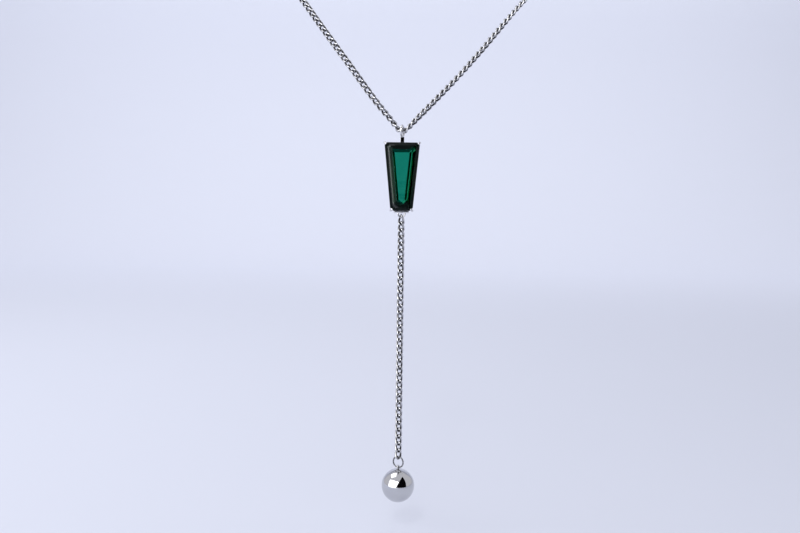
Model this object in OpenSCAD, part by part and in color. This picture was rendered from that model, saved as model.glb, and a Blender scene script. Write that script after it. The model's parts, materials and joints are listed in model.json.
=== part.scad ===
// Glass pendant necklace: a fine curb chain, a claw-set tapered step-cut stone on a ring bail,
// and a polished ball on a drop chain below it. The pendant hangs at -Y, the nape is at +Y,
// and the origin is the middle of the neck at the height where the chain crosses its sides.

/* [Neck chain] */
// Diameter of the chain's rounded outline
neck_chain_d = 1.7; // [1.3:0.05:1.7]
// Number of sides of the chain's outline
neck_chain_sides = 8; // [8:1:12]

/* [Drop chain] */
// Wire that the links are bent from
link_wire = 0.5; // [0.4:0.01:0.5]
// Width of a link
link_w = 1.8; // [1.75:0.01:1.85]
// Distance from one link to the next
link_pitch = 1.69; // [1.69:0.01:1.75]
// Play between the wires of two linked links
link_play = 0.24; // [0.22:0.01:0.28]
// Turn of each end of a link about the chain's length
link_twist = 55; // [54:1:60]
// Number of links below the stone
drop_links = 35; // [5:1:40]

/* [Bail] */
// Inner diameter of the bail ring
bail_hole_d = 2.1; // [2.1:0.05:2.4]
// Wire of the bail ring
bail_wire = 0.6; // [0.5:0.05:0.7]
// Turn of the bail ring about the vertical, from square to the stone
bail_turn = 14; // [0:1:14]
// Width of the short square stem between the bail and the setting
stem_w = 0.95; // [0.8:0.05:1]

/* [Stone] */
// Length of the stone
stone_len = 16.7; // [14:0.1:20]
// Width of the stone across its top end, before the corners are cut
stone_top_w = 8.7; // [8:0.1:10]
// Width of the stone across its bottom end
stone_bottom_w = 5.4; // [5.2:0.1:7]
// Depth of the cut across each corner
corner_cut = 0.5; // [0.4:0.05:0.7]
// Thickness of the girdle, the stone's straight edge
girdle_t = 0.34; // [0.2:0.02:0.4]

/* [Setting] */
// Distance from the middle of the bail to the top of the stone
stone_drop = 2.9; // [2.8:0.05:3.4]
// Depth of each gallery rail, front to back
rail_depth = 0.6; // [0.4:0.05:0.7]
// Diameter of the claws
claw_d = 0.62; // [0.56:0.02:0.64]
// Gap between the stone and the metal round it
seat_gap = 0.09; // [0.06:0.01:0.15]
// Length of the bar below the stone
bar_len = 3.2; // [2.4:0.1:3.4]
// Outer diameter of the ring below the stone
tail_ring_d = 2.1; // [2:0.05:2.4]
// Wire of the ring below the stone
tail_wire = 0.45; // [0.4:0.01:0.46]

/* [Ball] */
// Diameter of the ball
ball_d = 8; // [6:0.1:10]
// Outer diameter of the jump ring above the ball
jump_ring_d = 3; // [2.6:0.05:3.6]
// Wire of the jump ring
jump_wire = 0.35; // [0.3:0.01:0.4]
// Turn of the jump ring about the vertical, from square to the front
jump_turn = -26; // [-45:1:-15]
// Wire of the small loop on the ball
ball_loop_wire = 0.35; // [0.3:0.01:0.36]

/* [Clasp] */
// Diameter of the clasp's barrel
clasp_d = 3.2; // [2.6:0.1:4]
// Length of the barrel's straight part
clasp_barrel = 8.4; // [8.4:0.1:8.6]
// Wire of the eye at each end
clasp_wire = 0.55; // [0.45:0.05:0.6]

/* [Hidden] */

// The middle of the bail ring, where the chain runs through it
BAIL = [-5, -60, -62];

// Route of the chain's middle line, as steps from the middle of the bail, columns x, y, z:
// from the clasp down the left side of the neck, through the bail, and up the right side
ROUTE = [
    [-3, 110.5, 77.5], [-9, 110, 77.5], [-18, 107, 76.5], [-27.5, 102, 74.5],
    [-37, 93.5, 71.5], [-44.5, 83, 68.5], [-49, 71, 65.5], [-51, 58, 62.5],
    [-50, 46, 58.8], [-46, 34, 54.4], [-40.3, 23, 49.2], [-33.8, 13.8, 43],
    [-27.6, 8.3, 36.3], [-22.8, 5.5, 29.6], [-17.8, 3.6, 22.6], [-13.25, 2.2, 16.4],
    [-9.6, 1.3, 11.3], [-7, 0.8, 7.8], [-5, 0.5, 5.3], [-3.5, 0.3, 3.55],
    [-2.3, 0.2, 2.2], [-1.6, 0.15, 1.15], [-1.05, 0.1, 0.45], [-0.75, 0.05, 0.2],
    [-0.4, 0, 0.05], [0, 0, 0], [0.4, 0, 0.05], [0.75, 0.05, 0.2],
    [1.05, 0.1, 0.45], [1.7, 0.15, 1.1], [2.7, 0.2, 2.25], [4, 0.3, 3.65],
    [5.7, 0.5, 5.4], [8.1, 0.85, 7.95], [11.5, 1.45, 11.55], [16.1, 2.5, 16.8],
    [21.4, 4.1, 23.25], [27.1, 6.4, 30.5], [32.6, 9.5, 37], [39.5, 15.2, 43.5],
    [47, 24, 49.4], [54.3, 34.5, 54.6], [59.3, 46, 58.9], [61, 58, 62.5],
    [59, 71, 65.5], [54.5, 83, 68.5], [47, 93.5, 71.5], [37.5, 102, 74.5],
    [28, 107, 76.5], [19, 110, 77.5], [13, 110.5, 77.5]
];
// A stretch of the route longer than this is halved on a smooth curve
LONG_STEP = 5;

// Gap left between pieces that hang in each other, and between the chain's ends and the clasp
HANG_GAP = 0.1;
CHAIN_END_GAP = 0.15;
// Angles of a link's wire rings: six round each end and one halfway along each side
LINK_ANGLES = [for (end = [0, 180], a = [-75, -45, -15, 15, 45, 75, 90]) end + a];
// Number of sides of a link's wire
LINK_SIDES = 6;
// The first link is turned by FIRST_FACING, square to the ring that holds it, and each link below
// turns back by FACING_STEP until the chain faces the front
FIRST_FACING = -35;
FACING_STEP = 5;

// The stone's steps from the table to the back facet. Columns: how far the outline is drawn in,
// and the depth behind the middle of the girdle
STEPS = [
    [1.8, -girdle_t / 2 - 1.25],
    [0.8, -girdle_t / 2 - 0.75],
    [0, -girdle_t / 2],
    [0, girdle_t / 2],
    [0.55, 1.15],
    [1.35, 2.15],
    [2.25, 2.95]
];
// How much further the cut corners are drawn in than the sides
CORNER_RATIO = 1.3;
// Place of the girdle's middle, in front of the line that the pendant hangs on
GIRDLE_Y = -1.5;

// Outlines of the two gallery rails. Columns: outer and inner draw-in, and depth of the front
UPPER_RAIL = [0, 0.5, 1.2];
LOWER_RAIL = [1, 1.6, 2.55];
// Path of a claw's middle line, from the lower rail to its tip over the stone's corner. Columns:
// distance outwards from the cut corner, and depth behind the girdle
CLAW_REACH = claw_d / 2 + seat_gap;
CLAW_PATH = [[-1.2, 2.85], [CLAW_REACH, 0.2], [CLAW_REACH, -0.35], [-0.05, -0.75]];
// Diameters of the claw's three stretches and of the rounding where they meet, as parts of claw_d
CLAW_TAPER = [0.86, 1, 0.88];
CLAW_ROUND = 1.08;

// How far the stem runs past the top of the stone, and into the bail's wire
STEM_FOOT = 0.25;
STEM_HEAD = 0.1;
// Bar below the stone: its diameter, and how far its middle lies below the stone
BAR_D = 0.6;
BAR_BELOW = 0.2;
// How far the middle of the tail ring lies below the bar's
TAIL_BELOW = 0.48;
// Middle radius of the ball's loop, and how far its middle stands above the ball
BALL_LOOP_R = 0.5;
BALL_LOOP_RISE = 0.32;
// Middle radius of the clasp's eyes
CLASP_EYE_R = 0.95;

// Heights below the middle of the bail, going down the pendant
bail_r = (bail_hole_d + bail_wire) / 2;
stone_z = -stone_drop - stone_len / 2;
bar_z = -stone_drop - stone_len - BAR_BELOW;
tail_r = (tail_ring_d - tail_wire) / 2;
tail_z = bar_z - TAIL_BELOW;
link_half = (link_pitch + link_play + link_wire) / 2;
link_side = (link_w - link_wire) / 2;
first_link_z = tail_z - tail_r + (tail_wire + link_wire) / 2 + HANG_GAP - link_half;
last_link_z = first_link_z - (drop_links - 1) * link_pitch;
jump_r = (jump_ring_d - jump_wire) / 2;
jump_z = last_link_z - link_half + (link_wire + jump_wire) / 2 + HANG_GAP - jump_r;
ball_loop_z = jump_z - jump_r + (jump_wire + ball_loop_wire) / 2 + HANG_GAP - BALL_LOOP_R;
ball_z = ball_loop_z - BALL_LOOP_RISE - ball_d / 2;

// The clasp sits between the ends of the chain, and its eyes reach almost to them
chain_start = ROUTE[0];
chain_end = ROUTE[len(ROUTE) - 1];
clasp_eye_x = (chain_end - chain_start).x / 2 - CHAIN_END_GAP - clasp_wire / 2 - CLASP_EYE_R;

STEEL = "#d4d6da";
GLASS = "#0e6655";

// Unit vector of v
function unit(v) = v / norm(v);

// Part of v at right angles to the unit vector t, as a unit vector
function square_to(v, t) = unit(v - (v * t) * t);

// Smooth curve through four points at the middle of its second stretch
function halfway(a, b, c, d) = (9 * (b + c) - a - d) / 16;

// The route with its long stretches halved
function smooth_route(p) = [
    for (i = [0:len(p) - 2])
        each norm(p[i + 1] - p[i]) < LONG_STEP
            ? [p[i]]
            : [p[i], halfway(p[max(i - 1, 0)], p[i], p[i + 1], p[min(i + 2, len(p) - 1)])],
    p[len(p) - 1]
];

// Direction of an open line at each of its points
function directions(p) = [
    for (i = [0:len(p) - 1])
        unit(
            (i == 0 ? [0, 0, 0] : unit(p[i] - p[i - 1]))
            + (i == len(p) - 1 ? [0, 0, 0] : unit(p[i + 1] - p[i]))
        )
];

// Points of one ring of a wire: centre c, two directions across the wire, radius and sides
function ring_points(c, across, up, r, sides) = [
    for (k = [0:sides - 1])
        let (a = (k + 0.5) * 360 / sides)
            c + r * (cos(a) * across + sin(a) * up)
];

// Walls between rings of points as triangles, for a wire with the given numbers of rings and
// sides. The last ring meets the first one when the wire is closed
function wall_faces(rings, sides, closed, first = 0) = [
    for (i = [0:rings - (closed ? 1 : 2)], k = [0:sides - 1])
        let (
            a = first + i * sides,
            b = first + ((i + 1) % rings) * sides,
            n = (k + 1) % sides
        )
            each [[a + k, b + k, b + n], [a + k, b + n, a + n]]
];

// Middle line of a link that stands along Z: a long ring with round ends, wrung about its length.
// Angle a runs round the link from its top, and facing is the turn of its middle from the front
function link_centre(a, facing) =
    let (
        along = link_side * cos(a) + (link_half - link_side) * sign(cos(a)),
        turn = facing - link_twist * along / link_half
    )
        [0, 0, along] + link_side * sin(a) * [cos(turn), sin(turn), 0];

// Points of one link with its middle at height z
function link_points(z, facing) =
    let (line = [for (a = LINK_ANGLES) link_centre(a, facing)], n = len(line))
        [
            for (i = [0:n - 1])
                let (
                    along = unit(line[(i + 1) % n] - line[(i + n - 1) % n]),
                    outward = square_to(line[i], along)
                )
                    each ring_points(
                        [0, 0, z] + line[i],
                        outward, cross(along, outward), link_wire / 2, LINK_SIDES
                    )
        ];

// Edges of the stone's outline in its own plane, clockwise from the top, each with the unit
// vector that points out of it, its distance from the middle, and its draw-in ratio
SIDE = unit([stone_len, (stone_bottom_w - stone_top_w) / 2]);
TOP_CORNER = [stone_top_w, stone_len] / 2;
BOTTOM_CORNER = [stone_bottom_w, -stone_len] / 2;
TOP_CUT = unit(SIDE + [0, 1]);
BOTTOM_CUT = unit(SIDE - [0, 1]);
EDGES = [
    [[0, 1], stone_len / 2, 1],
    [TOP_CUT, TOP_CUT * TOP_CORNER - corner_cut, CORNER_RATIO],
    [SIDE, SIDE * TOP_CORNER, 1],
    [BOTTOM_CUT, BOTTOM_CUT * BOTTOM_CORNER - corner_cut, CORNER_RATIO],
    [[0, -1], stone_len / 2, 1],
    [[-BOTTOM_CUT.x, BOTTOM_CUT.y], BOTTOM_CUT * BOTTOM_CORNER - corner_cut, CORNER_RATIO],
    [[-SIDE.x, SIDE.y], SIDE * TOP_CORNER, 1],
    [[-TOP_CUT.x, TOP_CUT.y], TOP_CUT * TOP_CORNER - corner_cut, CORNER_RATIO]
];

// Point where two edges of the outline meet once each is drawn in
function meet(e, f, draw) =
    let (
        c = e[1] - e[2] * draw,
        d = f[1] - f[2] * draw,
        det = e[0].x * f[0].y - e[0].y * f[0].x
    )
        [(c * f[0].y - d * e[0].y) / det, (d * e[0].x - c * f[0].x) / det];

// The eight corners of the outline, drawn in by the given amount
function outline(draw) = [for (i = [0:7]) meet(EDGES[i], EDGES[(i + 1) % 8], draw)];

// Middle of a cut corner, as [x, z]; i is the place of its edge in EDGES
function cut_middle(i) = (outline(0)[i] + outline(0)[i - 1]) / 2;

// Puts a piece of the pendant where it hangs
module hang() {
    translate(BAIL)
        children();
}

// A ring of round wire that faces the front
module wire_ring(r, wire) {
    rotate([90, 0, 0])
        rotate_extrude($fn = 64)
            translate([r, 0])
                circle(d = wire, $fn = 32);
}

// A round rod from a to b
module rod(a, b, d) {
    v = b - a;
    translate(a)
        rotate([0, acos(v.z / norm(v)), atan2(v.y, v.x)])
            cylinder(d = d, h = norm(v), $fn = 32);
}

// A round bar along X with ball ends, whose straight part has the given length
module round_bar(length, d) {
    rod([-length / 2, 0, 0], [length / 2, 0, 0], d);
    for (side = [-1, 1])
        translate([side * length / 2, 0, 0])
            sphere(d = d, $fn = 32);
}

// A band of metal that follows the stone's outline, standing front to back
module rail(row) {
    translate([0, GIRDLE_Y + row[2] + rail_depth, stone_z])
        rotate([90, 0, 0])
            linear_extrude(rail_depth)
                difference() {
                    polygon(outline(row[0]));
                    polygon(outline(row[1]));
                }
}

// One claw at the cut corner whose edge is the i-th of the outline
module claw(i) {
    m = cut_middle(i);
    n = EDGES[i][0];
    p = [for (c = CLAW_PATH) [m.x + n.x * c[0], GIRDLE_Y + c[1], stone_z + m.y + n.y * c[0]]];
    for (k = [0:len(p) - 2])
        rod(p[k], p[k + 1], claw_d * CLAW_TAPER[k]);
    for (k = [1:len(p) - 1])
        translate(p[k])
            sphere(d = claw_d * CLAW_ROUND, $fn = 32);
}

// The loop round the neck, as the rounded outline of its chain
module neck_chain() {
    p = smooth_route([for (r = ROUTE) BAIL + r]);
    t = directions(p);
    n = len(p);
    points = [
        for (i = [0:n - 1])
            let (
                outward = square_to([p[i].x, p[i].y, 0], t[i]),
                up = cross(t[i], outward)
            )
                each ring_points(p[i], outward, up, neck_chain_d / 2, neck_chain_sides)
    ];
    color(STEEL)
        polyhedron(
            points,
            [
                each wall_faces(n, neck_chain_sides, false),
                [for (k = [0:neck_chain_sides - 1]) k],
                [for (k = [0:neck_chain_sides - 1]) n * neck_chain_sides - 1 - k]
            ]
        );
}

// The fastener at the nape, closed: a barrel with an eye at each end
module clasp() {
    color(STEEL)
        translate(BAIL + (chain_start + chain_end) / 2) {
            round_bar(clasp_barrel, clasp_d);
            for (side = [-1, 1])
                translate([side * clasp_eye_x, 0, 0])
                    wire_ring(CLASP_EYE_R, clasp_wire);
        }
}

// Bail, stem, gallery rails, claws, bar and tail ring, soldered into one piece
module setting() {
    color(STEEL)
        hang() {
            rotate([0, 0, 90 - bail_turn])
                wire_ring(bail_r, bail_wire);
            translate([-stem_w / 2, -stem_w / 2, -stone_drop - STEM_FOOT])
                cube([stem_w, stem_w, stone_drop + STEM_FOOT - bail_r - STEM_HEAD]);
            rail(UPPER_RAIL);
            rail(LOWER_RAIL);
            for (i = [1:2:7])
                claw(i);
            translate([0, 0, bar_z])
                round_bar(bar_len, BAR_D);
            translate([0, 0, tail_z])
                wire_ring(tail_r, tail_wire);
        }
}

// Tapered step-cut stone with cut corners: a table, two crown steps, a girdle, and a back that
// draws in over three steps to a long narrow facet
module stone() {
    rows = [for (s = STEPS) [for (q = outline(s[0])) [q.x, GIRDLE_Y + s[1], stone_z + q.y]]];
    last = len(rows) - 1;
    color(GLASS)
        hang()
            polyhedron(
                [for (r = rows) each r],
                [
                    [for (k = [0:7]) k],
                    for (i = [0:last - 1], k = [0:7])
                        let (n = (k + 1) % 8)
                            [8 * i + k, 8 * (i + 1) + k, 8 * (i + 1) + n, 8 * i + n],
                    [for (k = [0:7]) 8 * last + 7 - k]
                ]
            );
}

// The straight chain below the stone, link by link
module drop_chain() {
    rings = len(LINK_ANGLES);
    color(STEEL)
        hang()
            polyhedron(
                [
                    for (i = [0:drop_links - 1])
                        each link_points(
                            first_link_z - i * link_pitch,
                            min(FIRST_FACING + i * FACING_STEP, 0)
                        )
                ],
                [
                    for (i = [0:drop_links - 1])
                        each wall_faces(rings, LINK_SIDES, true, i * rings * LINK_SIDES)
                ]
            );
}

// The ring that joins the drop chain and the ball
module jump_ring() {
    color(STEEL)
        hang()
            translate([0, 0, jump_z])
                rotate([0, 0, jump_turn])
                    wire_ring(jump_r, jump_wire);
}

// The ball with its small soldered loop
module ball() {
    color(STEEL)
        hang() {
            translate([0, 0, ball_z])
                sphere(d = ball_d, $fn = 96);
            translate([0, 0, ball_loop_z])
                rotate([0, 0, jump_turn + 90])
                    wire_ring(BALL_LOOP_R, ball_loop_wire);
        }
}

neck_chain();
clasp();
setting();
stone();
drop_chain();
jump_ring();
ball();
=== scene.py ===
import json
import math

import bpy
from mathutils import Matrix, Vector

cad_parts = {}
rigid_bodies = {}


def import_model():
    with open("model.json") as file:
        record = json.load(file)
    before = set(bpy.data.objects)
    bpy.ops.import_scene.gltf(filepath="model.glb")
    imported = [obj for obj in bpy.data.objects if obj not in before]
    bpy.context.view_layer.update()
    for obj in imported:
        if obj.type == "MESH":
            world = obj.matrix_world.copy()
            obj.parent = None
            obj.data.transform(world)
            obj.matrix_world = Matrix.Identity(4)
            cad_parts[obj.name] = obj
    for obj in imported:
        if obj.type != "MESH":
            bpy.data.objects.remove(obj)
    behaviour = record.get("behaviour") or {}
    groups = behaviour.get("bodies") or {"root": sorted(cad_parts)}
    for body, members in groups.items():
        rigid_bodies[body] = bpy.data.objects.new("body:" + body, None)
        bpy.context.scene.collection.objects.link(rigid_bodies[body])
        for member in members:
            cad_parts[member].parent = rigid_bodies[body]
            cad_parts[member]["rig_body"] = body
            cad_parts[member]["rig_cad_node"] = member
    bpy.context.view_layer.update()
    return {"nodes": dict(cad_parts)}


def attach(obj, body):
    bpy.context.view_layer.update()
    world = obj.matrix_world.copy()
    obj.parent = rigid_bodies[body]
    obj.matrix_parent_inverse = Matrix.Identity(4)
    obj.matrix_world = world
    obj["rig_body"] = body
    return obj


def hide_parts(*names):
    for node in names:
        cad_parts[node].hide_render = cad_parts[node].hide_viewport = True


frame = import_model()

# The camera stands close in front of the pendant and looks level at the top of the drop chain,
# so the bail is seen a little from below and the ball from above.
FRAME_WIDTH_PX = 800
CAMERA_PLACE = (-0.00529, -0.242, -0.0854)
CAMERA_FOCAL_PX = 741
CAMERA_CENTRE_ABOVE_PX = 40
CAMERA_ROLL = math.radians(0.731)
CAMERA_NEAREST = 0.005
SENSOR_WIDTH_MM = 36

bpy.ops.object.camera_add(location=CAMERA_PLACE, rotation=(math.pi / 2, -CAMERA_ROLL, 0))
camera = bpy.context.object
camera.name = "camera"
camera.data.sensor_width = SENSOR_WIDTH_MM
camera.data.lens = CAMERA_FOCAL_PX * SENSOR_WIDTH_MM / FRAME_WIDTH_PX
camera.data.shift_y = -CAMERA_CENTRE_ABOVE_PX / FRAME_WIDTH_PX
camera.data.clip_start = CAMERA_NEAREST
bpy.context.scene.camera = camera


# Neck chain: a fine silver curb chain, round wire links wrung about their length so that they lie
# flat side by side, with painted shade, near black, on the inner side of the wire, where the next
# links pass. It runs from one eye of the clasp round the neck, through the bail, and back.
MM = 0.001
BAIL = Vector((-5, -60, -62)) * MM
# Points nearer than this to each other, or to a plane, are taken as touching
TOUCHING = 0.01 * MM
LINK_WIRE = 0.55 * MM
LINK_WIDTH = 1.8 * MM
LINK_PITCH = 1.69 * MM
LINK_PLAY = 0.19 * MM
# How far each end of a link is wrung from its middle
LINK_TWIST = math.radians(-55)
# Half the length and half the width of a link, to the middle of its wire
LINK_HALF = (LINK_PITCH + LINK_PLAY + LINK_WIRE) / 2
LINK_SIDE = (LINK_WIDTH - LINK_WIRE) / 2
# The chain's middle line, in millimetres from the middle of the bail
ROUTE = [
    (-3, 110.5, 77.5), (-9, 110, 77.5), (-18, 107, 76.5), (-27.5, 102, 74.5),
    (-37, 93.5, 71.5), (-44.5, 83, 68.5), (-49, 71, 65.5), (-51, 58, 62.5),
    (-50, 46, 58.8), (-46, 34, 54.4), (-40.3, 23, 49.2), (-33.8, 13.8, 43),
    (-27.6, 8.3, 36.3), (-22.8, 5.5, 29.6), (-17.8, 3.6, 22.6), (-13.25, 2.2, 16.4),
    (-9.6, 1.3, 11.3), (-7, 0.8, 7.8), (-5, 0.5, 5.3), (-3.5, 0.3, 3.55),
    (-2.3, 0.2, 2.2), (-1.6, 0.15, 1.15), (-1.05, 0.1, 0.45), (-0.75, 0.05, 0.2),
    (-0.4, 0, 0.05), (0, 0, 0), (0.4, 0, 0.05), (0.75, 0.05, 0.2),
    (1.05, 0.1, 0.45), (1.7, 0.15, 1.1), (2.7, 0.2, 2.25), (4, 0.3, 3.65),
    (5.7, 0.5, 5.4), (8.1, 0.85, 7.95), (11.5, 1.45, 11.55), (16.1, 2.5, 16.8),
    (21.4, 4.1, 23.25), (27.1, 6.4, 30.5), (32.6, 9.5, 37), (39.5, 15.2, 43.5),
    (47, 24, 49.4), (54.3, 34.5, 54.6), (59.3, 46, 58.9), (61, 58, 62.5),
    (59, 71, 65.5), (54.5, 83, 68.5), (47, 93.5, 71.5), (37.5, 102, 74.5),
    (28, 107, 76.5), (19, 110, 77.5), (13, 110.5, 77.5),
]
# A step longer than this is halved on a smooth curve
LONG_STEP = 5
NECK_LINKS = 228
NECK_PITCH = 1.687 * MM
# The line of the links starts inside one eye of the clasp, this far past the route's first point,
# and runs twice as far past its last point, so that the last link's end still lies on it
EYE_REACH = 0.72 * MM
# An end link is turned so far that it hangs freely in its eye, and each link further on turns back
# by a step until the chain lies flat
EYE_TURN = math.radians(50)
TURN_STEP = math.radians(5)
# The links lie flat in the bail and turn back by a step each beyond it, but the right strand stays
# turned, as a loose fine chain does
BAIL_TURN_OF_LINKS = math.radians(90)
RIGHT_STRAND_TURN = math.radians(60)
LOOSE_TURN_STEP = math.radians(10)
# Every link lies a little turned to one side or the other, in slow waves along the chain that
# begin this many links from where it is held
SWAY = math.radians(8)
SWAY_WAVE = 17
SWAY_START = 8


def deselected():
    """Leaves edit mode and selects nothing, because an operator acts on all that is selected."""
    if bpy.context.object and bpy.context.object.mode != "OBJECT":
        bpy.ops.object.mode_set(mode="OBJECT")
    bpy.ops.object.select_all(action="DESELECT")


def edited(obj, chosen):
    """Opens obj in edit mode with the vertices selected whose place passes the test."""
    deselected()
    obj.select_set(True)
    bpy.context.view_layer.objects.active = obj
    bpy.ops.object.mode_set(mode="EDIT")
    bpy.ops.mesh.select_mode(type="VERT")
    bpy.ops.mesh.select_all(action="DESELECT")
    bpy.ops.object.mode_set(mode="OBJECT")
    for v in obj.data.vertices:
        v.select = chosen(v.co)
    bpy.ops.object.mode_set(mode="EDIT")


def placed(obj):
    """Puts obj's place, turn and size into its mesh, and leaves the object at the origin."""
    deselected()
    obj.select_set(True)
    bpy.context.view_layer.objects.active = obj
    bpy.ops.object.transform_apply(location=True, rotation=True, scale=True)
    return obj


def with_modifier(obj, kind, **settings):
    """Applies one modifier to obj."""
    deselected()
    bpy.context.view_layer.objects.active = obj
    obj.select_set(True)
    modifier = obj.modifiers.new(kind, kind)
    for key, value in settings.items():
        setattr(modifier, key, value)
    bpy.ops.object.modifier_apply(modifier=modifier.name)
    return obj


def copied(obj, matrix):
    """A copy of obj with its own mesh, moved by matrix."""
    twin = obj.copy()
    twin.data = obj.data.copy()
    twin.data.transform(matrix)
    bpy.context.scene.collection.objects.link(twin)
    return twin


def joined(parts, name):
    """One object of all the parts, smooth shaded."""
    deselected()
    for part in parts:
        part.select_set(True)
    bpy.context.view_layer.objects.active = parts[0]
    if len(parts) > 1:
        bpy.ops.object.join()
    whole = bpy.context.object
    whole.name = name
    whole.data.name = name
    bpy.ops.object.shade_smooth()
    return whole


def made_link(ends, sides):
    """A curb link that stands along Z with its middle at the origin and its width along X.

    Each point keeps how far it lies outwards across the wire, from -1 inside the link to 1.
    """
    half_step = math.pi / ends
    deselected()
    bpy.ops.mesh.primitive_torus_add(
        major_radius=LINK_SIDE, minor_radius=LINK_WIRE / 2, major_segments=ends,
        minor_segments=sides, rotation=(math.pi / 2, math.pi / 2 + half_step, 0),
    )
    link = placed(bpy.context.object)
    outward = link.data.attributes.new("outward", "FLOAT", "POINT")
    for v, spot in zip(link.data.vertices, outward.data):
        spot.value = (math.hypot(v.co.x, v.co.z) - LINK_SIDE) / (LINK_WIRE / 2)
    for end in (-1, 1):
        edited(link, lambda co: co.z * end > 0)
        bpy.ops.transform.translate(value=(0, 0, end * (LINK_HALF - LINK_SIDE)))
    edited(link, lambda co: True)
    bpy.ops.mesh.bisect(plane_co=(0, 0, 0), plane_no=(0, 0, 1))
    for side in (-1, 1):
        edited(link, lambda co: abs(co.z) < TOUCHING and co.x * side > 0)
        bpy.ops.transform.translate(value=(side * LINK_SIDE * (1 - math.cos(half_step)), 0, 0))
    deselected()
    whole_length = 2 * LINK_HALF + LINK_WIRE
    with_modifier(
        link, "SIMPLE_DEFORM", deform_method="TWIST", deform_axis="Z",
        angle=2 * LINK_TWIST * whole_length / (2 * LINK_HALF),
    )
    return link


def smooth_route():
    """The route in metres, with its long steps halved on the smooth curve through four points."""
    p = [Vector(step) for step in ROUTE]
    points = []
    for i in range(len(p) - 1):
        points.append(p[i])
        if (p[i + 1] - p[i]).length >= LONG_STEP:
            before, after = p[max(i - 1, 0)], p[min(i + 2, len(p) - 1)]
            points.append((9 * (p[i] + p[i + 1]) - before - after) / 16)
    points.append(p[-1])
    return [BAIL + q * MM for q in points]


def chain_joints(line, pitch, count):
    """The ends of count links along the line, each one a pitch from the one before."""
    joints = [line[0]]
    i = 0
    for _ in range(count):
        here = joints[-1]
        while (line[i + 1] - here).length < pitch:
            i += 1
        a, b = line[i], line[i + 1]
        along = (b - a).normalized()
        foot = (here - a).dot(along)
        across = (here - a - foot * along).length
        joints.append(a + (foot + math.sqrt(pitch ** 2 - across ** 2)) * along)
    return joints


route = smooth_route()
into_eye = Vector((EYE_REACH, 0, 0))
neck_line = [route[0] + into_eye] + route + [route[-1] - 2 * into_eye]
neck_joints = chain_joints(neck_line, NECK_PITCH, NECK_LINKS)
neck_link = made_link(12, 6)
neck_links = []
bail_index = min(range(len(neck_joints)), key=lambda i: (neck_joints[i] - BAIL).length)
for i in range(NECK_LINKS):
    a, b = neck_joints[i], neck_joints[i + 1]
    along = (b - a).normalized()
    middle = (a + b) / 2
    outward = Vector((middle.x, middle.y, 0))
    outward = (outward - outward.dot(along) * along).normalized()
    left_in = NECK_LINKS - 1 - i
    from_bail = i + 0.5 - bail_index
    facing = max(0, EYE_TURN - TURN_STEP * i) - max(0, EYE_TURN - TURN_STEP * left_in)
    loose = BAIL_TURN_OF_LINKS - LOOSE_TURN_STEP * abs(from_bail)
    if from_bail > 0:
        loose = max(loose, RIGHT_STRAND_TURN)
    facing += max(0, min(loose, LOOSE_TURN_STEP * left_in))
    free = min(1, i / SWAY_START, left_in / SWAY_START, abs(from_bail) / SWAY_START)
    facing += free * SWAY * math.sin(2 * math.pi * i / SWAY_WAVE)
    turned = Matrix((along.cross(outward), -outward, along)).transposed()
    place = Matrix.Translation(middle) @ turned.to_4x4() @ Matrix.Rotation(facing, 4, "Z")
    neck_links.append(copied(neck_link, place))
bpy.data.objects.remove(neck_link)
neck_chain = joined(neck_links, "neck_chain_links")


# Where the film begins and is full in its cloudy pattern, and where the wire's side is fully dark
# with painted shade and where it is free of it
FILM_BEGINS = 0.45
FILM_FULL = 0.75
PAINTED_SHADE_FULL = -0.3
UNSHADED_FROM = 0.6
PAINTED_SHADE_ROUGHNESS = 0.35
HAIRLINE_STRETCH = (1, 1, 0.12)
HAIRLINE_DEPTH = 0.02 * MM


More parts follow.
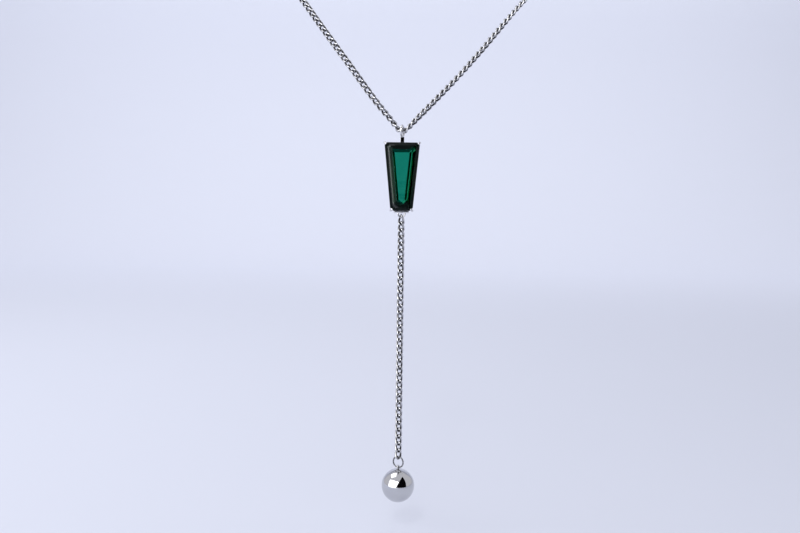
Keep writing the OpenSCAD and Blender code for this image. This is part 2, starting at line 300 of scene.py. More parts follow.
def silver_group():
    """Polished silver with fine hairlines, a faint cloudy film and painted shade.

    Outward says how open a spot lies, from -1 for the inner side of a link's wire to 1. The painted
    shade makes the spots that lie inward near black and rougher.
    """
    group = bpy.data.node_groups.new("hand_polished_silver", "ShaderNodeTree")
    face = group.interface
    for name, kind, value in (
        ("Bright", "NodeSocketColor", (0.9, 0.9, 0.92, 1)),
        ("Dull", "NodeSocketColor", (0.6, 0.6, 0.62, 1)),
        # Near-black painted shade for the inner side of a link's wire
        ("Painted Shade", "NodeSocketColor", (0.03, 0.028, 0.03, 1)),
        ("Outward", "NodeSocketFloat", 1),
        ("Cloud Scale", "NodeSocketFloat", 300),
        ("Scratch Scale", "NodeSocketFloat", 3000),
        ("Smoothest", "NodeSocketFloat", 0.05),
        ("Roughest", "NodeSocketFloat", 0.2),
    ):
        socket = face.new_socket(name, in_out="INPUT", socket_type=kind)
        socket.default_value = value
    face.new_socket("Color", in_out="OUTPUT", socket_type="NodeSocketColor")
    face.new_socket("Roughness", in_out="OUTPUT", socket_type="NodeSocketFloat")
    face.new_socket("Height", in_out="OUTPUT", socket_type="NodeSocketFloat")
    nodes, links = group.nodes, group.links
    given = nodes.new("NodeGroupInput")
    result = nodes.new("NodeGroupOutput")
    place = nodes.new("ShaderNodeTexCoord")
    cloud = nodes.new("ShaderNodeTexNoise")
    cloud.inputs["Detail"].default_value = 4
    hairline = nodes.new("ShaderNodeTexNoise")
    hairline.inputs["Detail"].default_value = 3
    stretch = nodes.new("ShaderNodeMapping")
    stretch.inputs["Scale"].default_value = HAIRLINE_STRETCH
    tone = nodes.new("ShaderNodeMix")
    tone.data_type = "RGBA"
    rough = nodes.new("ShaderNodeMapRange")
    amount = nodes.new("ShaderNodeMapRange")
    amount.inputs["From Min"].default_value = FILM_BEGINS
    amount.inputs["From Max"].default_value = FILM_FULL
    # How far a spot lies clear of the painted shade on the wire's inner side
    unshaded = nodes.new("ShaderNodeMapRange")
    unshaded.inputs["From Min"].default_value = PAINTED_SHADE_FULL
    unshaded.inputs["From Max"].default_value = UNSHADED_FROM
    shaded_tone = nodes.new("ShaderNodeMix")
    shaded_tone.data_type = "RGBA"
    shaded_rough = nodes.new("ShaderNodeMix")
    shaded_rough.inputs["A"].default_value = PAINTED_SHADE_ROUGHNESS
    links.new(place.outputs["Object"], cloud.inputs["Vector"])
    links.new(place.outputs["Object"], stretch.inputs["Vector"])
    links.new(stretch.outputs["Vector"], hairline.inputs["Vector"])
    links.new(given.outputs["Cloud Scale"], cloud.inputs["Scale"])
    links.new(given.outputs["Scratch Scale"], hairline.inputs["Scale"])
    links.new(cloud.outputs["Fac"], amount.inputs["Value"])
    links.new(amount.outputs["Result"], tone.inputs["Factor"])
    links.new(given.outputs["Bright"], tone.inputs["A"])
    links.new(given.outputs["Dull"], tone.inputs["B"])
    links.new(cloud.outputs["Fac"], rough.inputs["Value"])
    links.new(given.outputs["Smoothest"], rough.inputs["To Min"])
    links.new(given.outputs["Roughest"], rough.inputs["To Max"])
    links.new(given.outputs["Outward"], unshaded.inputs["Value"])
    links.new(unshaded.outputs["Result"], shaded_tone.inputs["Factor"])
    links.new(given.outputs["Painted Shade"], shaded_tone.inputs["A"])
    links.new(tone.outputs["Result"], shaded_tone.inputs["B"])
    links.new(unshaded.outputs["Result"], shaded_rough.inputs["Factor"])
    links.new(rough.outputs["Result"], shaded_rough.inputs["B"])
    links.new(shaded_tone.outputs["Result"], result.inputs["Color"])
    links.new(shaded_rough.outputs["Result"], result.inputs["Roughness"])
    links.new(hairline.outputs["Fac"], result.inputs["Height"])
    return group


SILVER = silver_group()


def silver_material(name, bright, dull, smoothest, roughest, scratch):
    """A silver finish for one kind of piece, from the shared polished silver.

    Scratch is how strongly its hairlines show.
    """
    material = bpy.data.materials.new(name)
    material.use_nodes = True
    nodes, links = material.node_tree.nodes, material.node_tree.links
    shader = nodes["Principled BSDF"]
    shader.inputs["Metallic"].default_value = 1
    polish = nodes.new("ShaderNodeGroup")
    polish.node_tree = SILVER
    polish.inputs["Bright"].default_value = (*bright, 1)
    polish.inputs["Dull"].default_value = (*dull, 1)
    polish.inputs["Smoothest"].default_value = smoothest
    polish.inputs["Roughest"].default_value = roughest
    bump = nodes.new("ShaderNodeBump")
    bump.inputs["Strength"].default_value = scratch
    bump.inputs["Distance"].default_value = HAIRLINE_DEPTH
    links.new(polish.outputs["Color"], shader.inputs["Base Color"])
    links.new(polish.outputs["Roughness"], shader.inputs["Roughness"])
    links.new(polish.outputs["Height"], bump.inputs["Height"])
    links.new(bump.outputs["Normal"], shader.inputs["Normal"])
    return material


def dressed(obj, material, body, node):
    """Gives a finished piece its material and its body, and hides the node that it stands for."""
    obj.data.materials.clear()
    obj.data.materials.append(material)
    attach(obj, body)
    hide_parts(node)


chain_silver = silver_material(
    "chain_silver", (0.64, 0.64, 0.65), (0.5, 0.5, 0.52), 0.06, 0.16, 0.15)
chain_nodes, chain_links = chain_silver.node_tree.nodes, chain_silver.node_tree.links
# The links' outward marks place the painted shade on the inner side of their wire
wire_side = chain_nodes.new("ShaderNodeAttribute")
wire_side.attribute_name = "outward"
chain_links.new(wire_side.outputs["Fac"], chain_nodes["Group"].inputs["Outward"])
dressed(neck_chain, chain_silver, "chain_loop", "neck_chain")


# Clasp: the closed silver fastener at the nape, a plain barrel with a ring eye soldered to each
# end. The chain's first link hangs in one eye and its last link in the other.
clasp_middle = BAIL + (Vector(ROUTE[0]) + Vector(ROUTE[-1])) / 2 * MM
CLASP_RADIUS = 1.6 * MM
CLASP_BARREL = 8.4 * MM
CLASP_WIRE = 0.55 * MM
CLASP_EYE_R = 0.95 * MM
CHAIN_END_GAP = 0.15 * MM
clasp_half = (ROUTE[-1][0] - ROUTE[0][0]) / 2 * MM
clasp_eye_x = clasp_half - CHAIN_END_GAP - CLASP_WIRE / 2 - CLASP_EYE_R


def wire_ring(radius, wire, steps, sides, place, turn=0):
    """A ring of round wire that faces the front, or is turned about the vertical."""
    deselected()
    bpy.ops.mesh.primitive_torus_add(
        major_radius=radius, minor_radius=wire / 2, major_segments=steps,
        minor_segments=sides, location=place, rotation=(math.pi / 2, 0, turn),
    )
    return placed(bpy.context.object)


deselected()
bpy.ops.mesh.primitive_uv_sphere_add(
    segments=40, ring_count=20, radius=CLASP_RADIUS, rotation=(0, math.pi / 2, 0))
clasp_barrel = placed(bpy.context.object)
for end in (-1, 1):
    edited(clasp_barrel, lambda co: co.x * end > -TOUCHING)
    bpy.ops.transform.translate(value=(end * CLASP_BARREL / 2, 0, 0))
    deselected()
clasp_barrel.location = clasp_middle
placed(clasp_barrel)
clasp_eyes = [
    wire_ring(CLASP_EYE_R, CLASP_WIRE, 32, 12, clasp_middle + Vector((end * clasp_eye_x, 0, 0)))
    for end in (-1, 1)
]
clasp = joined([clasp_barrel] + clasp_eyes, "clasp_fastener")
clasp_silver = silver_material(
    "clasp_silver", (0.7, 0.7, 0.71), (0.56, 0.56, 0.58), 0.08, 0.2, 0.1)
dressed(clasp, clasp_silver, "chain_loop", "clasp")


# Stone: one piece of deep teal glass, step cut by hand with a table, two crown steps and three
# steps behind the girdle. Its facets are polished, and their edges are very slightly rubbed.
STONE_DROP = 2.9 * MM
STONE_LENGTH = 16.7 * MM
STONE_EDGE_WEAR = 0.03 * MM
SMALLEST_FACET_TURN = math.radians(1)
# The left edge between the two crown steps gets a painted sheen, a clear coat laid only there
CROWN_EDGE_Y = BAIL.y - 2.42 * MM
# Its facets are those of its solid. The copy is a piece of its own, so it drops the solid's marks.
stone_node = frame["nodes"]["stone"]
deselected()
stone = stone_node.copy()
stone.data = stone_node.data.copy()
stone.parent = None
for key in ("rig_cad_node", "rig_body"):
    del stone[key]
bpy.context.scene.collection.objects.link(stone)
stone.name = "stone_glass"
stone.data.name = "stone_glass"
edited(stone, lambda co: True)
bpy.ops.mesh.remove_doubles(threshold=TOUCHING)
bpy.ops.mesh.dissolve_limited(angle_limit=SMALLEST_FACET_TURN)
deselected()
painted_sheen = stone.data.attributes.new("painted_sheen", "FLOAT", "POINT")
for v, spot in zip(stone.data.vertices, painted_sheen.data):
    spot.value = 1 if abs(v.co.y - CROWN_EDGE_Y) < TOUCHING and v.co.x < BAIL.x else 0
with_modifier(stone, "BEVEL", width=STONE_EDGE_WEAR, segments=2, limit_method="ANGLE",
              angle_limit=math.radians(5))
# Each facet is painted with the light or shade that it shows. Light passes through the table
# and the flat back, which keep the glass's colour, and a little of it through the right side's
# steps behind the girdle and its flattest one in front, which are painted a little darker and
# greener. The other facets throw it back and are painted nearly black. A facet is known by how
# far its normal points along an axis.
FLAT_FACET = 0.99
RIGHT_FACET = 0.3
BEHIND_GIRDLE = 0.2
FLATTEST_STEP = -0.8
CLEAR_TINT = (1, 1, 1, 1)
SIDE_PAINTED_LIGHT = (0.9, 0.85, 0.45, 1)
DARK_PAINTED_SHADE = (0.01, 0.03, 0.025, 1)
painted_facet_light = stone.data.attributes.new("facet_painted_light", "FLOAT_COLOR", "FACE")
for facet, spot in zip(stone.data.polygons, painted_facet_light.data):
    across, back = facet.normal.x, facet.normal.y
    if abs(back) > FLAT_FACET:
        spot.color = CLEAR_TINT
    elif across > RIGHT_FACET and (back > BEHIND_GIRDLE or back < FLATTEST_STEP):
        spot.color = SIDE_PAINTED_LIGHT
    else:
        spot.color = DARK_PAINTED_SHADE

# The glass is a little clearer in its lower part, where fine lines of flow cross it. They begin and
# are full at these parts of its length.
FLOW_BEGINS = 0.4
FLOW_FULL = 0.75
FLOW_SCALE = (90, 90, 1600)
# The lines start and are full at these values of their pattern
FLOW_EDGE = 0.42
FLOW_MIDDLE = 0.62
FLOW_STRENGTH = 0.7
UPPER_GLASS = (0.75, 0.8, 0.88, 1)
LOWER_GLASS = (1, 0.92, 1, 1)
FLOW_GLASS = (0.3, 0.5, 0.55, 1)
DEEP_TEAL = (0.2, 0.776, 0.678, 1)
TEAL_DENSITY = 1300
SURFACE_TINT = (0.12, 0.2, 0.17, 1)
# The painted sheen on the crown's left edge, from 0 a facet away from it to 1 on it
SHEEN_BEGINS = 0.68
SHEEN_FULL = 0.95

glass = bpy.data.materials.new("teal_glass")
glass.use_nodes = True
glass_nodes, glass_links = glass.node_tree.nodes, glass.node_tree.links
glass_shader = glass_nodes["Principled BSDF"]
glass_place = glass_nodes.new("ShaderNodeTexCoord")
glass_height = glass_nodes.new("ShaderNodeSeparateXYZ")
lower_part = glass_nodes.new("ShaderNodeMapRange")
lower_part.inputs["From Min"].default_value = BAIL.z - STONE_DROP - STONE_LENGTH * FLOW_BEGINS
lower_part.inputs["From Max"].default_value = BAIL.z - STONE_DROP - STONE_LENGTH * FLOW_FULL
flow_lines = glass_nodes.new("ShaderNodeMapping")
flow_lines.inputs["Scale"].default_value = FLOW_SCALE
flow = glass_nodes.new("ShaderNodeTexNoise")
flow.inputs["Detail"].default_value = 2
flow.inputs["Scale"].default_value = 1
flow_amount = glass_nodes.new("ShaderNodeMapRange")
flow_amount.inputs["From Min"].default_value = FLOW_EDGE
flow_amount.inputs["From Max"].default_value = FLOW_MIDDLE
flow_amount.inputs["To Max"].default_value = FLOW_STRENGTH
flow_here = glass_nodes.new("ShaderNodeMath")
flow_here.operation = "MULTIPLY"
glass_depth = glass_nodes.new("ShaderNodeMix")
glass_depth.data_type = "RGBA"
glass_depth.inputs["A"].default_value = UPPER_GLASS
glass_depth.inputs["B"].default_value = LOWER_GLASS
glass_flow = glass_nodes.new("ShaderNodeMix")
glass_flow.data_type = "RGBA"
glass_flow.inputs["B"].default_value = FLOW_GLASS
# The glass's colour is multiplied by each facet's painted light and shade
facet_kind = glass_nodes.new("ShaderNodeAttribute")
facet_kind.attribute_name = "facet_painted_light"
facet_colour = glass_nodes.new("ShaderNodeMix")
facet_colour.data_type = "RGBA"
facet_colour.blend_type = "MULTIPLY"
facet_colour.inputs["Factor"].default_value = 1
glass_links.new(glass_place.outputs["Object"], glass_height.inputs["Vector"])
glass_links.new(glass_height.outputs["Z"], lower_part.inputs["Value"])
glass_links.new(lower_part.outputs["Result"], glass_depth.inputs["Factor"])
glass_links.new(glass_place.outputs["Object"], flow_lines.inputs["Vector"])
glass_links.new(flow_lines.outputs["Vector"], flow.inputs["Vector"])
glass_links.new(flow.outputs["Fac"], flow_amount.inputs["Value"])
glass_links.new(flow_amount.outputs["Result"], flow_here.inputs[0])
glass_links.new(lower_part.outputs["Result"], flow_here.inputs[1])
glass_links.new(flow_here.outputs["Value"], glass_flow.inputs["Factor"])
glass_links.new(glass_depth.outputs["Result"], glass_flow.inputs["A"])
glass_links.new(facet_kind.outputs["Color"], facet_colour.inputs["A"])
glass_links.new(glass_flow.outputs["Result"], facet_colour.inputs["B"])
glass_links.new(facet_colour.outputs["Result"], glass_shader.inputs["Base Color"])
glass_shader.inputs["Specular Tint"].default_value = SURFACE_TINT
# A clear coat on the marked edge alone paints the sheen there
edge_sheen = glass_nodes.new("ShaderNodeAttribute")
edge_sheen.attribute_name = "painted_sheen"
edge_width = glass_nodes.new("ShaderNodeMapRange")
edge_width.inputs["From Min"].default_value = SHEEN_BEGINS
edge_width.inputs["From Max"].default_value = SHEEN_FULL
glass_links.new(edge_sheen.outputs["Fac"], edge_width.inputs["Value"])
glass_links.new(edge_width.outputs["Result"], glass_shader.inputs["Coat Weight"])
glass_shader.inputs["Coat IOR"].default_value = 1.6
glass_shader.inputs["Roughness"].default_value = 0.02
glass_shader.inputs["IOR"].default_value = 1.52
glass_shader.inputs["Transmission Weight"].default_value = 1
glass_body = glass_nodes.new("ShaderNodeVolumeAbsorption")
glass_body.inputs["Color"].default_value = DEEP_TEAL
glass_body.inputs["Density"].default_value = TEAL_DENSITY
glass_links.new(glass_body.outputs["Volume"], glass_nodes["Material Output"].inputs["Volume"])
dressed(stone, glass, "pendant", "stone")


# Gallery rails: two flat silver bands that follow the stone's outline behind its girdle, the
# narrower one below the other. They are sawn from plate and their edges are rounded over.
STONE_TOP_W = 8.7 * MM
STONE_BOTTOM_W = 5.4 * MM
CORNER_CUT = 0.5 * MM
# How much further the cut corners are drawn in than the sides
CORNER_RATIO = 1.3
GIRDLE_Y = -1.5 * MM
RAIL_DEPTH = 0.6 * MM
RAIL_ROUNDING = 0.09 * MM
# Outer and inner draw-in from the girdle, and the depth of the front behind the girdle's middle
RAILS = [(0, 0.5 * MM, 1.2 * MM), (1 * MM, 1.6 * MM, 2.55 * MM)]
stone_middle = BAIL + Vector((0, GIRDLE_Y, -STONE_DROP - STONE_LENGTH / 2))
# How far each side leans out for each metre up
side_lean = (STONE_TOP_W - STONE_BOTTOM_W) / 2 / STONE_LENGTH


def outline_plate(draw):
    """A plate of the stone's outline, drawn in all round, that faces the front at the girdle."""
    half_length = STONE_LENGTH / 2 - draw
    half_middle = (STONE_TOP_W + STONE_BOTTOM_W) / 4 - draw * math.hypot(1, side_lean)
    deselected()
    bpy.ops.mesh.primitive_plane_add(size=2 * half_length, rotation=(math.pi / 2, 0, 0))
    plate = placed(bpy.context.object)
    for end in (-1, 1):
        half_width = half_middle + end * side_lean * half_length
        edited(plate, lambda co: co.z * end > 0)
        bpy.ops.transform.resize(value=(half_width / half_length, 1, 1))
    bpy.ops.mesh.select_all(action="SELECT")
    # A sharp corner moves in by more than its cut does, so less of it is cut off
    corner_depth = CORNER_CUT - (math.sqrt(2) - CORNER_RATIO) * draw
    bpy.ops.mesh.bevel(offset=corner_depth * math.sqrt(2), affect="VERTICES", offset_type="OFFSET")
    bpy.ops.object.mode_set(mode="OBJECT")
    return plate


rails = []
for outer, inner, front in RAILS:
    rail = outline_plate(outer)
    edited(rail, lambda co: True)
    bpy.ops.mesh.select_mode(type="FACE")
    bpy.ops.mesh.inset(thickness=inner - outer, use_even_offset=True)
    bpy.ops.mesh.delete(type="FACE")
    bpy.ops.mesh.select_all(action="SELECT")
    bpy.ops.mesh.extrude_region_move(TRANSFORM_OT_translate={"value": (0, RAIL_DEPTH, 0)})
    bpy.ops.mesh.select_all(action="SELECT")
    bpy.ops.mesh.normals_make_consistent(inside=False)
    deselected()
    with_modifier(rail, "BEVEL", width=RAIL_ROUNDING, segments=3, limit_method="ANGLE",
                  angle_limit=math.radians(30))
    rail.location = stone_middle + Vector((0, front, 0))
    rails.append(placed(rail))
gallery = joined(rails, "gallery_rails")
setting_silver = silver_material(
    "setting_silver", (0.72, 0.72, 0.73), (0.58, 0.58, 0.6), 0.07, 0.2, 0.1)
dressed(gallery, setting_silver, "pendant", "setting")


# Claws: four round silver wires soldered to the rails at the stone's cut corners, each bent over
# the crown, with its tip filed to a small bead that holds the stone.
CLAW_D = 0.62 * MM
SEAT_GAP = 0.09 * MM
CLAW_REACH = CLAW_D / 2 + SEAT_GAP
# Middle line from the lower rail to the tip: distance outwards from the cut corner, depth behind
# the girdle, and the wire's size there as a part of its diameter
CLAW_PATH = [
    (-1.2 * MM, 2.85 * MM, 0.86), (-0.4 * MM, 1.525 * MM, 0.93), (0.32 * MM, 0.33 * MM, 0.99),
    (CLAW_REACH, 0.08 * MM, 1), (CLAW_REACH, -0.24 * MM, 1), (0.31 * MM, -0.47 * MM, 0.97),
    (0.12 * MM, -0.66 * MM, 0.95), (-0.08 * MM, -0.78 * MM, 0.92), (-0.26 * MM, -0.86 * MM, 0.6),
]
CLAW_SIDES = 12
claw_points = [Vector((out, depth, 0)) for out, depth, _ in CLAW_PATH]
claw_steps = [b - a for a, b in zip(claw_points, claw_points[1:])]
# At each point the wire's cross-section is square to the middle of the ways that meet there
claw_turns = []
for before, after in zip(claw_steps[:1] + claw_steps, claw_steps + claw_steps[-1:]):
    way = before.normalized() + after.normalized()
    claw_turns.append(math.atan2(way.y, way.x))

deselected()
bpy.ops.mesh.primitive_circle_add(
    vertices=CLAW_SIDES, radius=CLAW_D / 2, fill_type="NGON", rotation=(0, math.pi / 2, 0))
claw = placed(bpy.context.object)
edited(claw, lambda co: True)
bpy.ops.transform.translate(value=claw_points[0])
turn_now, size_now = 0, 1
for i, (place, turn) in enumerate(zip(claw_points, claw_turns)):
    if i:
        bpy.ops.mesh.extrude_region_move(TRANSFORM_OT_translate={"value": claw_steps[i - 1]})
    size = CLAW_PATH[i][2]
    bpy.ops.transform.rotate(value=turn_now - turn, orient_axis="Z", center_override=place)
    bpy.ops.transform.resize(value=(size / size_now,) * 3, center_override=place)
    turn_now, size_now = turn, size
bpy.ops.mesh.select_all(action="SELECT")
bpy.ops.mesh.normals_make_consistent(inside=False)
deselected()
with_modifier(claw, "SUBSURF", levels=2, render_levels=2)

# Each claw stands out from its corner about halfway between the stone's side and its end
claws = []
sideways = Vector((1, 0, side_lean)).normalized()
for side in (-1, 1):
    for end in (-1, 1):
        half_width = STONE_TOP_W / 2 if end > 0 else STONE_BOTTOM_W / 2
        outward = (sideways + Vector((0, 0, end))).normalized()
        corner = Vector((half_width, 0, end * STONE_LENGTH / 2)) - outward * CORNER_CUT
        angle = math.atan2(outward.z, outward.x)
        place = Matrix.Translation(corner) @ Matrix.Rotation(-angle, 4, "Y")
        if side < 0:
            place = Matrix.Scale(-1, 4, (1, 0, 0)) @ place
        claws.append(copied(claw, Matrix.Translation(stone_middle) @ place))
bpy.data.objects.remove(claw)
claws = joined(claws, "claws")
edited(claws, lambda co: True)
bpy.ops.mesh.normals_make_consistent(inside=False)
deselected()
dressed(claws, setting_silver, "pendant", "setting")


# Bail: a ring of round silver wire that the chain runs through, on a short square stem with a flat
# polished front. The stem is soldered under the ring and behind the top of the upper rail.
BAIL_R = 1.35 * MM
BAIL_WIRE = 0.6 * MM
BAIL_TURN = math.radians(14)
STEM_WIDTH = 0.95 * MM
STEM_ROUNDING = 0.06 * MM
# The stem reaches into the ring's wire, to this far below the wire's middle, and runs this far past
# the top of the stone
STEM_BELOW_WIRE = 0.1 * MM
STEM_PAST_STONE = 0.25 * MM
# The solder that thickens the ring's foot
FOOT_THICKER = 1.25
bail_ring = wire_ring(BAIL_R, BAIL_WIRE, 64, 20, BAIL, math.pi / 2 - BAIL_TURN)
edited(bail_ring, lambda co: co.z < BAIL.z - BAIL_R)
bpy.ops.transform.resize(
    value=(FOOT_THICKER, FOOT_THICKER, 1), center_override=BAIL - Vector((0, 0, BAIL_R)))
stem_top = BAIL.z - BAIL_R - STEM_BELOW_WIRE
stem_foot = BAIL.z - STONE_DROP - STEM_PAST_STONE
deselected()
bpy.ops.mesh.primitive_cube_add(
    size=1, location=(BAIL.x, BAIL.y, (stem_top + stem_foot) / 2),
    scale=(STEM_WIDTH, STEM_WIDTH, stem_top - stem_foot))
stem = placed(bpy.context.object)
with_modifier(stem, "BEVEL", width=STEM_ROUNDING, segments=2, limit_method="ANGLE",
              angle_limit=math.radians(30))
bail = joined([bail_ring], "bail_ring")
dressed(bail, setting_silver, "pendant", "setting")
stem = joined([stem], "bail_stem")
bpy.ops.object.shade_smooth_by_angle(angle=math.radians(20))
# The stem gets a darker copy of the setting's silver: painted shade over all of it
stem_silver_painted_dark = silver_material("stem_silver_painted_dark", (0.5, 0.5, 0.51), (0.42, 0.42, 0.44), 0.01, 0.03, 0)
dressed(stem, stem_silver_painted_dark, "pendant", "setting")


# Tail: a short round silver bar soldered across the bottom of the upper rail, with a wire ring
# under it that holds the first link of the drop chain.
BAR_LENGTH = 3.2 * MM
BAR_D = 0.6 * MM
BAR_BELOW = 0.2 * MM
TAIL_BELOW = 0.48 * MM
TAIL_RING_D = 2.1 * MM
TAIL_WIRE = 0.45 * MM
bar_z = BAIL.z - STONE_DROP - STONE_LENGTH - BAR_BELOW
tail_z = bar_z - TAIL_BELOW
tail_r = (TAIL_RING_D - TAIL_WIRE) / 2
deselected()
bpy.ops.mesh.primitive_uv_sphere_add(
    segments=24, ring_count=16, radius=BAR_D / 2, rotation=(0, math.pi / 2, 0))
bar = placed(bpy.context.object)
for end in (-1, 1):
    edited(bar, lambda co: co.x * end > -TOUCHING)
    bpy.ops.transform.translate(value=(end * BAR_LENGTH / 2, 0, 0))
    deselected()
bar.location = (BAIL.x, BAIL.y, bar_z)
placed(bar)
tail_ring = wire_ring(tail_r, TAIL_WIRE, 48, 16, (BAIL.x, BAIL.y, tail_z))
tail = joined([bar, tail_ring], "tail_bar_and_ring")
dressed(tail, setting_silver, "pendant", "setting")


# Drop chain: the same curb chain as the neck's, hung straight from the tail ring. Its first link
# stands square to that ring, and the next ones turn until the chain faces the front.
DROP_LINKS = 35
END_TURN = math.radians(35)
# A link hangs this far clear of a ring, and a ring this far clear of the ring that it hangs in
LINK_GAP = 0.075 * MM
HANG_GAP = 0.1 * MM
first_link_z = tail_z - tail_r + (TAIL_WIRE + LINK_WIRE) / 2 + LINK_GAP - LINK_HALF
drop_link = made_link(20, 10)
drop_links = []
for i in range(DROP_LINKS):
    facing = -max(0, END_TURN - TURN_STEP * i)
    free = min(1, i / SWAY_START, (DROP_LINKS - 1 - i) / SWAY_START)
    facing += free * SWAY * math.sin(2 * math.pi * i / SWAY_WAVE)
    place = Matrix.Translation((BAIL.x, BAIL.y, first_link_z - i * LINK_PITCH))
    drop_links.append(copied(drop_link, place @ Matrix.Rotation(facing, 4, "Z")))
bpy.data.objects.remove(drop_link)
drop_chain = joined(drop_links, "drop_chain_links")
dressed(drop_chain, chain_silver, "pendant", "drop_chain")


# Jump ring: a loop of thin silver wire, bent round and closed by hand, that joins the drop chain
# and the ball. Its two ends meet in a fine cut at its side.
JUMP_RING_D = 3 * MM
JUMP_WIRE = 0.35 * MM
JUMP_TURN = math.radians(-26)
JUMP_STEPS = 160
# How thick the wire is at the cut, as a part of its full size
CUT_SIZE = 0.6
jump_r = (JUMP_RING_D - JUMP_WIRE) / 2
last_link_z = first_link_z - (DROP_LINKS - 1) * LINK_PITCH
jump_z = last_link_z - LINK_HALF + (LINK_WIRE + JUMP_WIRE) / 2 + LINK_GAP - jump_r
jump_wire = wire_ring(jump_r, JUMP_WIRE, JUMP_STEPS, 14, (BAIL.x, BAIL.y, jump_z), JUMP_TURN)
# One round of the wire's points is drawn together there
cut = Vector((BAIL.x, BAIL.y, jump_z)) + jump_r * Vector(
    (math.cos(JUMP_TURN), math.sin(JUMP_TURN), 0))
half_step = math.pi * jump_r / JUMP_STEPS
edited(jump_wire, lambda co: (co - cut).length < JUMP_WIRE and abs(co.z - cut.z) < half_step)
bpy.ops.transform.resize(value=(CUT_SIZE,) * 3, center_override=cut)
jump_ring = joined([jump_wire], "jump_ring_wire")
# The ring has no outward marks, so the chain silver's painted shade darkens all of it, two thirds
# of the way to near black
dressed(jump_ring, chain_silver, "pendant", "jump_ring")


# Ball: a hollow silver bead, polished to a mirror, with a small wire loop soldered on top that
# hangs in the jump ring.
BALL_R = 4 * MM
BALL_LOOP_R = 0.5 * MM
BALL_LOOP_WIRE = 0.35 * MM
# Height of the loop's middle above the ball's top
BALL_LOOP_RISE = 0.32 * MM
# The bead of solder at the loop's foot, and its height as a part of its width
SOLDER_R = 0.42 * MM
SOLDER_FLAT = 0.35
ball_loop_z = jump_z - jump_r + (JUMP_WIRE + BALL_LOOP_WIRE) / 2 + HANG_GAP - BALL_LOOP_R
ball_z = ball_loop_z - BALL_LOOP_RISE - BALL_R
deselected()
bpy.ops.mesh.primitive_uv_sphere_add(
    segments=96, ring_count=48, radius=BALL_R, location=(BAIL.x, BAIL.y, ball_z))
ball_bead = placed(bpy.context.object)
ball_loop = wire_ring(
    BALL_LOOP_R, BALL_LOOP_WIRE, 32, 12, (BAIL.x, BAIL.y, ball_loop_z), JUMP_TURN + math.pi / 2)
deselected()
bpy.ops.mesh.primitive_uv_sphere_add(
    segments=32, ring_count=16, radius=SOLDER_R, location=(BAIL.x, BAIL.y, ball_z + BALL_R),
    scale=(1, 1, SOLDER_FLAT))
ball_solder = placed(bpy.context.object)
ball = joined([ball_bead, ball_loop, ball_solder], "ball_bead")
ball_silver = silver_material(
    "ball_silver", (0.6, 0.6, 0.61), (0.57, 0.57, 0.59), 0.02, 0.06, 0)
dressed(ball, ball_silver, "pendant", "ball")


# Studio: pale lavender paper under the piece that curves up behind it, a wide soft light at the
# front left, a small one above at the left, a key light over the camera and a long one for the
# paper. A dark cloth at the front right gives the silver its black reflections.
FLOOR_Z = -0.163
PAPER_MIDDLE_Y = -0.2
PAPER_SIZE = (4, 2.4)
PAPER_CURVE = 0.6
PAPER_STEPS = 12
WALL_HEIGHT = 1.6
deselected()
bpy.ops.mesh.primitive_plane_add(size=1, location=(0, PAPER_MIDDLE_Y, FLOOR_Z))
paper = bpy.context.object
paper.name = "studio_paper"
paper.scale = (*PAPER_SIZE, 1)
placed(paper)
edited(paper, lambda co: co.y > 0)
for step in range(PAPER_STEPS):
    a, b = (math.pi / 2 * k / PAPER_STEPS for k in (step, step + 1))
    bpy.ops.mesh.extrude_region_move(TRANSFORM_OT_translate={"value": (
        0, PAPER_CURVE * (math.sin(b) - math.sin(a)), PAPER_CURVE * (math.cos(a) - math.cos(b)))})
bpy.ops.mesh.extrude_region_move(TRANSFORM_OT_translate={"value": (0, 0, WALL_HEIGHT)})
deselected()
paper.select_set(True)
bpy.ops.object.shade_smooth()
paper_finish = bpy.data.materials.new("lavender_paper")
paper_finish.use_nodes = True
paper_shader = paper_finish.node_tree.nodes["Principled BSDF"]
paper_shader.inputs["Base Color"].default_value = (0.625, 0.65, 0.737, 1)
paper_shader.inputs["Roughness"].default_value = 0.9
paper_shader.inputs["Specular IOR Level"].default_value = 0
paper.data.materials.append(paper_finish)

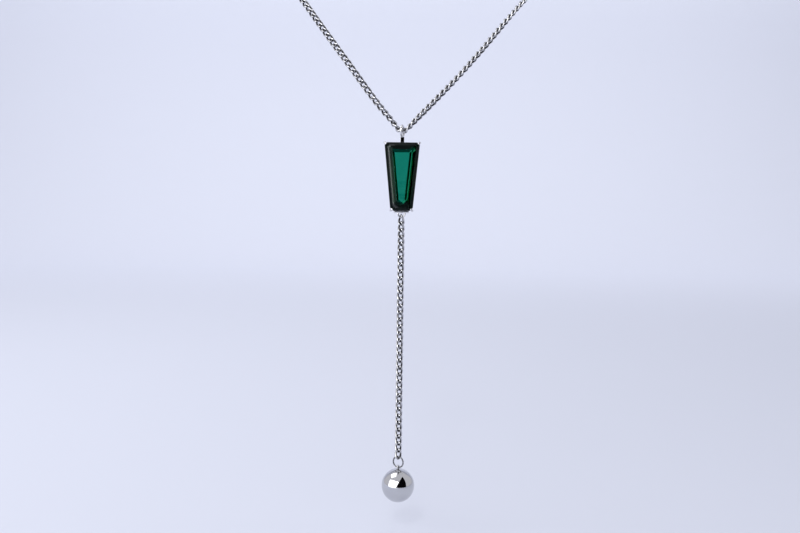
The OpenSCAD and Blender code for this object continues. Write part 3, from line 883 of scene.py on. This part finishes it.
# Corners of the dark cloth, as places across and up. It hangs from the top right to the floor.
CLOTH_Y = -0.56
CLOTH_CORNERS = [(-0.13, FLOOR_Z + 0.022), (0.86, FLOOR_Z), (2.16, 4.2)]
deselected()
bpy.ops.mesh.primitive_circle_add(vertices=3, radius=1, fill_type="NGON")
cloth = bpy.context.object
cloth.name = "dark_cloth"
for v, (x, z) in zip(cloth.data.vertices, CLOTH_CORNERS):
    v.co = (x, CLOTH_Y, z)
felt = bpy.data.materials.new("black_felt")
felt.use_nodes = True
cloth.data.materials.append(felt)
felt_shader = felt.node_tree.nodes["Principled BSDF"]
felt_shader.inputs["Base Color"].default_value = (0.004, 0.0035, 0.0035, 1)
felt_shader.inputs["Roughness"].default_value = 1
felt_shader.inputs["Specular IOR Level"].default_value = 0
deselected()
cloth.visible_camera = False

world = bpy.data.worlds.new("studio_air")
world.use_nodes = True
world.node_tree.nodes["Background"].inputs["Color"].default_value = (0.71, 0.71, 0.76, 1)
world.node_tree.nodes["Background"].inputs["Strength"].default_value = 1
bpy.context.scene.world = world


def softbox(name, target, azimuth, elevation, distance, size, radiance):
    """A soft light of that brightness that faces the target from a direction in degrees.

    Azimuth 0 is straight in front, and it grows to the right.
    """
    a, e = math.radians(azimuth), math.radians(elevation)
    away = Vector((math.sin(a) * math.cos(e), -math.cos(a) * math.cos(e), math.sin(e)))
    deselected()
    bpy.ops.object.light_add(type="AREA", location=target + distance * away)
    light = bpy.context.object
    light.name = name
    light.data.shape = "RECTANGLE"
    light.data.size, light.data.size_y = size
    light.data.energy = radiance * math.pi * size[0] * size[1]
    light.rotation_euler = away.to_track_quat("Z", "Y").to_euler()
    light.visible_camera = False
    return light


# Each light's target, azimuth, elevation, distance, size and brightness
ball_middle = Vector((BAIL.x, BAIL.y, ball_z))
softbox("light_front_left", ball_middle, -36, 20, 0.9, (1.26, 0.84), 2)
softbox("light_above", ball_middle, -100, 65, 0.7, (0.37, 0.37), 2.5)
softbox("light_key", ball_middle, -9, 38, 0.8, (0.1, 0.1), 20)
backdrop_light = softbox(
    "light_backdrop", Vector((0, 1.45, -0.03)), 0, 66, 1.12, (2.6, 0.6), 2.1)
# The silver doesn't mirror the paper's own light
backdrop_light.visible_glossy = False

bpy.context.scene.view_settings.view_transform = "Standard"
